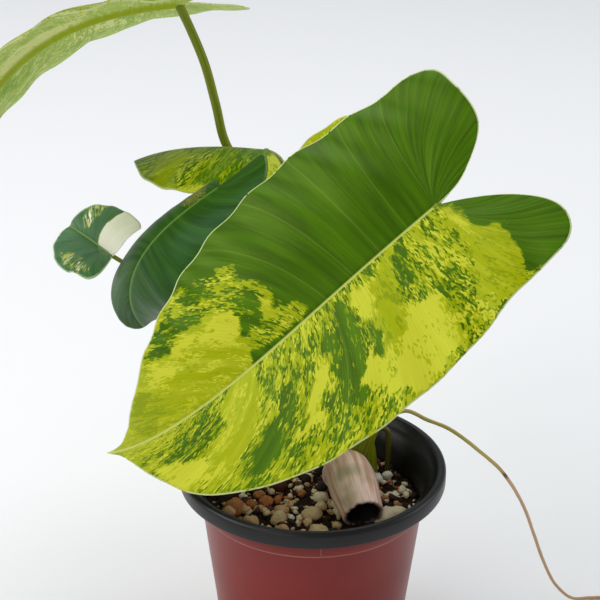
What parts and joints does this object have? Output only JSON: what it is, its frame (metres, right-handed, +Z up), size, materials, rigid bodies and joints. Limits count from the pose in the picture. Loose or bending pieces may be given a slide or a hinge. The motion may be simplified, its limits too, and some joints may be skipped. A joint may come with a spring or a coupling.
{
  "type": "potted variegated philodendron",
  "caption": "Potted climbing aroid with long heart-shaped leaves marbled green, lime and cream, arching leaf stalks, an old hollow stem end and aerial roots, in a plastic nursery pot.",
  "frame": {"origin": "centre of the pot's flat base, on the surface it stands on", "axes": "+Z up, -Y towards the viewer of the picture, +X to the viewer's right; millimetres in the STEP files"},
  "size_m": [0.3291, 0.224, 0.2994],
  "materials": {
    "pot_plastic": "smooth moulded plastic, terracotta red outside, black rim and inside",
    "potting_mix": "loose bark, pumice, clay balls and dark soil",
    "old_stem_bark": "dry, slightly shiny skin with lengthwise streaks",
    "green_stem": "smooth waxy green skin",
    "root_skin": "dry papery skin",
    "leaf_blade": "glossy marbled upper side, paler satin underside"
  },
  "bodies": {
    "root": {"pot": "pot_plastic", "potting_mix": "potting_mix", "old_stem": "old_stem_bark", "shoot_stem": "green_stem", "anchor_root": "root_skin", "aerial_root": "root_skin", "leaf_front": "leaf_blade", "stalk_front": "green_stem", "leaf_dark": "leaf_blade", "stalk_dark": "green_stem", "leaf_marbled": "leaf_blade", "stalk_marbled": "green_stem", "leaf_high": "leaf_blade", "stalk_high": "green_stem", "leaf_small": "leaf_blade", "stalk_small": "green_stem", "leaf_back": "leaf_blade", "stalk_back": "green_stem"}
  },
  "joints": []
}
